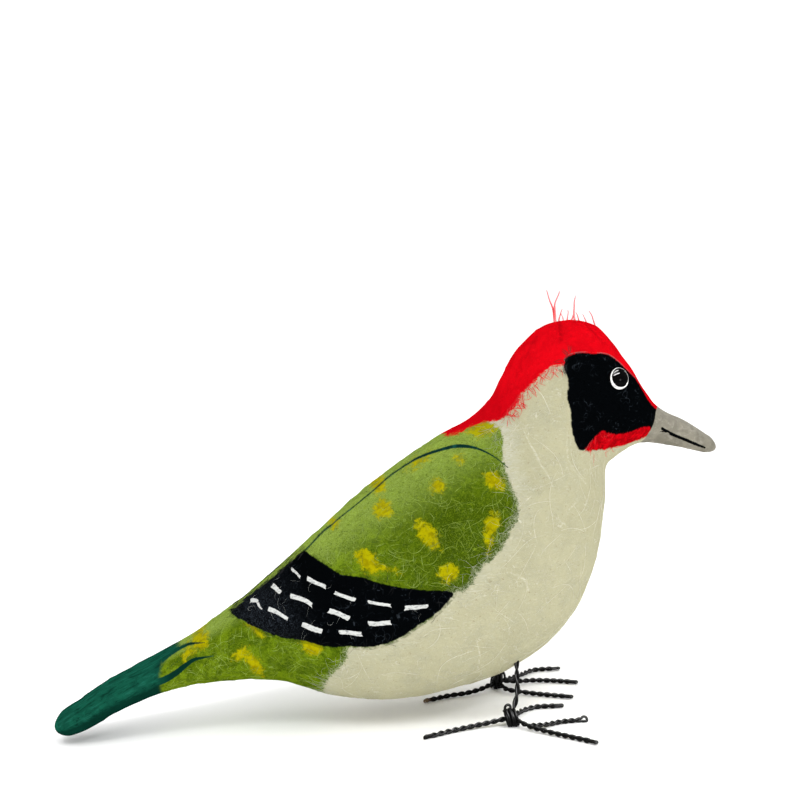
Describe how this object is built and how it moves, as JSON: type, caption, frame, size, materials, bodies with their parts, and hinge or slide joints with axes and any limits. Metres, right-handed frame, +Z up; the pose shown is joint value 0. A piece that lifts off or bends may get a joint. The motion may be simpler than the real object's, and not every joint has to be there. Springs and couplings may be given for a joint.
{
  "type": "papier-mache bird",
  "caption": "Papier-mache green woodpecker ornament with painted wings, bead eyes and twisted black wire feet that it stands on.",
  "frame": {"origin": "middle of the underside of the bounding box, on the surface the bird stands on", "axes": "+Z up, +X towards the beak, +Y to the bird's left"},
  "size_m": [0.2324, 0.0836, 0.143],
  "materials": {
    "paper_skin": "handmade paper over papier-mache, painted green, red, cream and black, matte",
    "eye_bead": "glossy black bead with a painted white ring",
    "wire": "black coated tie wire, twisted",
    "paper_fibre": "loose red mulberry paper fibres"
  },
  "bodies": {
    "root": {"body": "paper_skin", "eye_right": "eye_bead", "eye_left": "eye_bead", "foot_right": "wire", "foot_left": "wire", "crest_fibres": "paper_fibre"}
  },
  "joints": []
}
